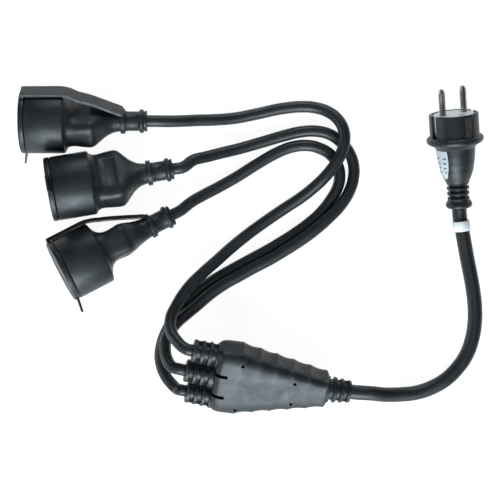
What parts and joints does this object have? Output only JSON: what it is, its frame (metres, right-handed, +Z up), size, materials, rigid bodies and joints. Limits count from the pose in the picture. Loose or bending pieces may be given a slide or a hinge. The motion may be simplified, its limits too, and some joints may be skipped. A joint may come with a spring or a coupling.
{
  "type": "power cord splitter",
  "caption": "Black rubber cord splitter: an earthed plug on a cord, a flat moulded splice block and cords to coupler sockets with hinged lids.",
  "frame": {"origin": "middle of the splice block and the coupler sockets, on the surface that they lie on", "axes": "+Z up from the surface, +X along the trunk cord side of the block, towards the plug, +Y across the surface towards the first coupler socket"},
  "size_m": [0.3419, 0.2414, 0.0639],
  "materials": {
    "soft_rubber": "satin black rubber",
    "cord_rubber": "satin black cord sheath",
    "hard_plastic": "matt black",
    "pale_carrier": "matt pale grey",
    "grey_inlay": "satin grey",
    "white_sleeve": "matt white",
    "nickel": "nickel plated",
    "brass": "plain"
  },
  "bodies": {
    "root": {"plug_body": "soft_rubber", "plug_grip_inlay_left": "grey_inlay", "plug_grip_inlay_right": "grey_inlay", "plug_pin_carrier": "pale_carrier", "plug_pin_left": "nickel", "plug_pin_right": "nickel", "plug_earth_bracket": "nickel", "splitter_body": "soft_rubber", "splice_live": "brass", "splice_earth": "brass", "splice_neutral": "brass", "splice_core": "hard_plastic", "coupler_1_housing": "soft_rubber", "coupler_1_insert": "hard_plastic", "coupler_1_contact_left": "brass", "coupler_1_contact_right": "brass", "coupler_1_earth_clip": "nickel", "coupler_1_strap": "soft_rubber", "coupler_2_housing": "soft_rubber", "coupler_2_insert": "hard_plastic", "coupler_2_contact_left": "brass", "coupler_2_contact_right": "brass", "coupler_2_earth_clip": "nickel", "coupler_2_strap": "soft_rubber", "coupler_3_housing": "soft_rubber", "coupler_3_insert": "hard_plastic", "coupler_3_contact_left": "brass", "coupler_3_contact_right": "brass", "coupler_3_earth_clip": "nickel", "coupler_3_strap": "soft_rubber", "trunk_cord": "cord_rubber", "cord_marker_sleeve": "white_sleeve", "branch_cord_1": "cord_rubber", "branch_cord_2": "cord_rubber", "branch_cord_3": "cord_rubber"},
    "lid_1": {"coupler_1_lid": "soft_rubber"},
    "lid_2": {"coupler_2_lid": "soft_rubber"},
    "lid_3": {"coupler_3_lid": "soft_rubber"}
  },
  "joints": [
    {"name": "lid_1_hinge", "type": "hinge", "parent": "root", "child": "lid_1", "pos_m": [-0.1167, 0.1157, 0.0398], "axis": [-0.0162, 0.5877, -0.8089], "range_deg": [0, 120]},
    {"name": "lid_2_hinge", "type": "hinge", "parent": "root", "child": "lid_2", "pos_m": [-0.0982, 0.0421, 0.0038], "axis": [0.177, -0.9804, 0.0868], "range_deg": [0, 120]},
    {"name": "lid_3_hinge", "type": "hinge", "parent": "root", "child": "lid_3", "pos_m": [-0.1004, 0.0089, 0.0283], "axis": [-0.1539, -0.0805, -0.9848], "range_deg": [0, 120]}
  ]
}
